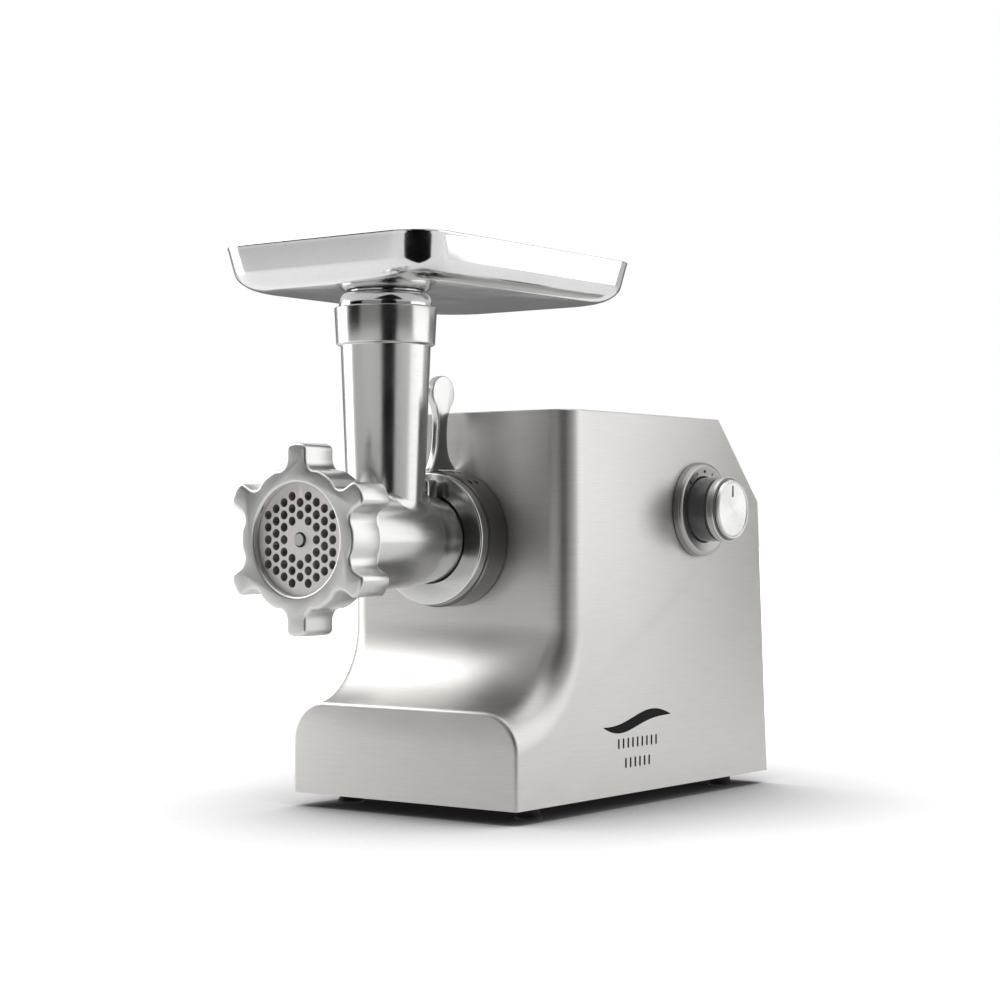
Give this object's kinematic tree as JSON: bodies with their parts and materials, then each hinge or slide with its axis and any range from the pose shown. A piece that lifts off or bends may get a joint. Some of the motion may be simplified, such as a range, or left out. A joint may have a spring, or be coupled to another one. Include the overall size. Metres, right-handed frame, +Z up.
{
  "type": "electric meat grinder",
  "caption": "Countertop electric meat grinder: brushed steel case with a geared motor, bayonet grinding head, ring nut, perforated plate, feed tube with tray, locking lever and side knob.",
  "frame": {"origin": "on the ground, under the middle of the outer box", "axes": "+Z up, +Y towards the rear wall with the cord inlet, +X towards the side with the knob; the grinding head points along -Y"},
  "size_m": [0.174, 0.334, 0.2954],
  "materials": {
    "bezel_metal": "satin",
    "black_plastic": "fine textured",
    "boss_steel": "brushed round",
    "bronze": "sintered",
    "carbon": "pressed carbon",
    "case_steel": "satin, brushed along the machine",
    "cast_aluminium": "satin cast",
    "copper": "enamelled winding",
    "foot_rubber": "matt",
    "hard_steel": "machined",
    "knob_plastic": "glossy",
    "knob_trim": "spun, bright edge",
    "plate_steel": "ground flat",
    "polished_aluminium": "polished",
    "tray_aluminium": "polished, deep drawn",
    "white_plastic": "natural nylon"
  },
  "bodies": {
    "machine": {"casing": "case_steel", "bottom_cover": "black_plastic", "back_panel": "black_plastic", "cord_inlet": "foot_rubber", "foot_front_left": "foot_rubber", "foot_front_right": "foot_rubber", "foot_rear_left": "foot_rubber", "foot_rear_right": "foot_rubber", "foot_screw_front_left": "hard_steel", "foot_screw_front_right": "hard_steel", "foot_screw_rear_left": "hard_steel", "foot_screw_rear_right": "hard_steel", "front_boss": "boss_steel", "knob_bezel": "bezel_metal", "output_bearing_front": "hard_steel", "output_bearing_rear": "hard_steel", "second_bush_front": "bronze", "second_bush_rear": "bronze", "first_bush_front": "bronze", "first_bush_rear": "bronze", "motor_stator": "hard_steel", "field_coil_upper": "copper", "field_coil_lower": "copper", "motor_bracket_front": "cast_aluminium", "motor_bracket_rear": "cast_aluminium", "motor_bearing_front": "hard_steel", "motor_bearing_rear": "hard_steel", "motor_bolt_upper": "hard_steel", "motor_bolt_lower": "hard_steel", "brush_holder_left": "bronze", "brush_holder_right": "bronze", "carbon_brush_left": "carbon", "carbon_brush_right": "carbon", "gearbox_cup": "cast_aluminium", "gearbox_cover": "cast_aluminium", "rotary_switch": "black_plastic"},
    "head": {"grinder_head": "polished_aluminium", "head_bush": "bronze"},
    "auger_drive": {"auger": "cast_aluminium", "auger_driver": "white_plastic", "knife": "hard_steel"},
    "plate": {"grinding_plate": "plate_steel"},
    "nut": {"ring_nut": "cast_aluminium"},
    "tray_top": {"tray": "tray_aluminium", "tray_neck": "tray_aluminium"},
    "lock": {"lock_ring": "polished_aluminium", "lock_lever": "polished_aluminium"},
    "knob": {"knob_body": "knob_plastic", "knob_cap": "knob_trim"},
    "output": {"output_shaft": "hard_steel", "output_gear": "hard_steel"},
    "second_stage": {"second_pinion_shaft": "hard_steel", "second_gear": "hard_steel"},
    "first_stage": {"first_pinion_shaft": "hard_steel", "first_gear": "white_plastic"},
    "rotor": {"rotor_shaft": "hard_steel", "armature": "hard_steel", "commutator": "copper", "cooling_fan": "black_plastic"}
  },
  "joints": [
    {"name": "motor_spin", "type": "hinge", "parent": "machine", "child": "rotor", "pos_m": [-0.01106, 0.06199, 0.05632], "axis": [0, 1, 0], "continuous": true},
    {"name": "first_stage_spin", "type": "hinge", "parent": "machine", "child": "first_stage", "pos_m": [-0.02093, -0.00501, 0.08859], "axis": [0, 1, 0], "continuous": true},
    {"name": "second_stage_spin", "type": "hinge", "parent": "machine", "child": "second_stage", "pos_m": [0.01025, -0.01501, 0.10659], "axis": [0, 1, 0], "continuous": true},
    {"name": "output_spin", "type": "hinge", "parent": "machine", "child": "output", "pos_m": [-0.01175, -0.02501, 0.1447], "axis": [0, 1, 0], "continuous": true},
    {"name": "head_slide", "type": "slide", "parent": "machine", "child": "head", "axis": [0, -1, 0], "range_m": [0, 0.06]},
    {"name": "auger_spin", "type": "hinge", "parent": "head", "child": "auger_drive", "pos_m": [-0.01175, -0.08501, 0.1447], "axis": [0, 1, 0], "continuous": true},
    {"name": "plate_slide", "type": "slide", "parent": "head", "child": "plate", "axis": [0, -1, 0], "range_m": [0, 0.0105]},
    {"name": "nut_turn", "type": "hinge", "parent": "plate", "child": "nut", "pos_m": [-0.01175, -0.15701, 0.1447], "axis": [0, -1, 0], "range_deg": [0, 900]},
    {"name": "tray_lift", "type": "slide", "parent": "head", "child": "tray_top", "axis": [0, 0, 1], "range_m": [0, 0.03]},
    {"name": "lock_turn", "type": "hinge", "parent": "machine", "child": "lock", "pos_m": [-0.01175, -0.05901, 0.1447], "axis": [0, 1, 0], "range_deg": [0, 40]},
    {"name": "knob_turn", "type": "hinge", "parent": "machine", "child": "knob", "pos_m": [0.06355, 0.08799, 0.161], "axis": [1, 0, 0], "range_deg": [-45, 45]}
  ],
  "couplings": [
    {"joint": "first_stage_spin", "follows": "motor_spin", "ratio": -0.22727},
    {"joint": "second_stage_spin", "follows": "motor_spin", "ratio": 0.059809},
    {"joint": "output_spin", "follows": "motor_spin", "ratio": -0.017591},
    {"joint": "auger_spin", "follows": "motor_spin", "ratio": -0.017591},
    {"joint": "plate_slide", "follows": "nut_turn", "m_per_rad": 0.00063662}
  ]
}
